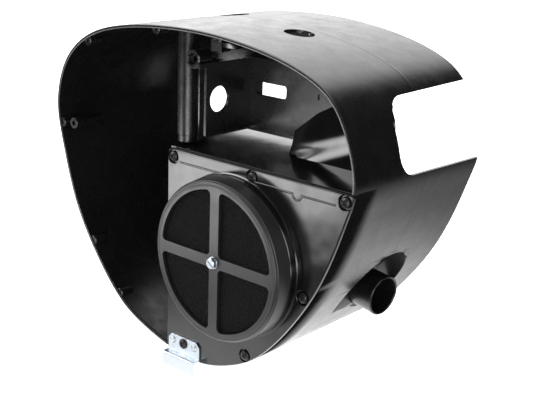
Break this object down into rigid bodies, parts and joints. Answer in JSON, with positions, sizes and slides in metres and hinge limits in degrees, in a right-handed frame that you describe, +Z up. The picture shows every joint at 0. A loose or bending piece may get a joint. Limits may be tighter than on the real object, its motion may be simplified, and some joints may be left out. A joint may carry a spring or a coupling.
{
  "type": "air filter housing",
  "caption": "Open moulded moped housing with an airbox, a screwed front panel, a round filter cover over a foam disc, an intake stub and a zinc bracket.",
  "frame": {"origin": "middle of the bottom of the box around everything, under the shell at the height of the bracket's foot", "axes": "+X towards the intake stub, +Y from the filter side to the far side of the shell, +Z up as mounted"},
  "size_m": [0.3414, 0.2006, 0.2942],
  "materials": {
    "shell_plastic": "black moulded polypropylene, semi-gloss, soft broad reflections",
    "panel_plastic": "black moulded plastic sheet, glossy, slightly rippled",
    "cover_plastic": "black satin moulded plastic",
    "filter_foam": "black open-cell polyurethane foam",
    "seal_rubber": "black soft rubber",
    "zinc_plated_steel": "bright blue-white zinc plate",
    "black_steel": "black oxide steel screws",
    "insert_brass": "plain brass threaded inserts"
  },
  "bodies": {
    "housing": {"housing_shell": "shell_plastic", "airbox_body": "shell_plastic", "partition_wall": "shell_plastic", "electrics_plate": "shell_plastic", "cover_tower": "shell_plastic", "intake_stub": "shell_plastic", "airbox_panel": "panel_plastic", "panel_gasket": "seal_rubber", "foam_support_grid": "cover_plastic", "cover_seal": "seal_rubber", "cover_screw_insert": "insert_brass", "mounting_bracket": "zinc_plated_steel", "bracket_rivet_left": "zinc_plated_steel", "bracket_rivet_right": "zinc_plated_steel", "bracket_screw": "black_steel", "bracket_insert": "insert_brass", "panel_screw_1": "black_steel", "panel_insert_1": "insert_brass", "panel_screw_2": "black_steel", "panel_insert_2": "insert_brass", "panel_screw_3": "black_steel", "panel_insert_3": "insert_brass", "panel_screw_4": "black_steel", "panel_insert_4": "insert_brass", "panel_screw_5": "black_steel", "panel_insert_5": "insert_brass"},
    "cover": {"filter_cover": "cover_plastic"},
    "washer": {"cover_screw_washer": "zinc_plated_steel"},
    "screw": {"cover_screw": "zinc_plated_steel"},
    "element": {"foam_element": "filter_foam"}
  },
  "joints": [
    {"name": "cover_lift", "type": "slide", "parent": "housing", "child": "cover", "axis": [0, -1, 0], "range_m": [0, 0.12]},
    {"name": "element_lift", "type": "slide", "parent": "housing", "child": "element", "axis": [0, -1, 0], "range_m": [0, 0.06]},
    {"name": "screw_back_off", "type": "slide", "parent": "cover", "child": "washer", "axis": [0, -1, 0], "range_m": [0, 0.0077]},
    {"name": "screw_turn", "type": "hinge", "parent": "washer", "child": "screw", "pos_m": [0.05299, -0.0982, 0.117], "axis": [0, -1, 0], "range_deg": [0, 3961]}
  ],
  "couplings": [
    {"joint": "element_lift", "follows": "cover_lift", "ratio": 0.5},
    {"joint": "screw_turn", "follows": "screw_back_off", "rad_per_m": 8976}
  ]
}
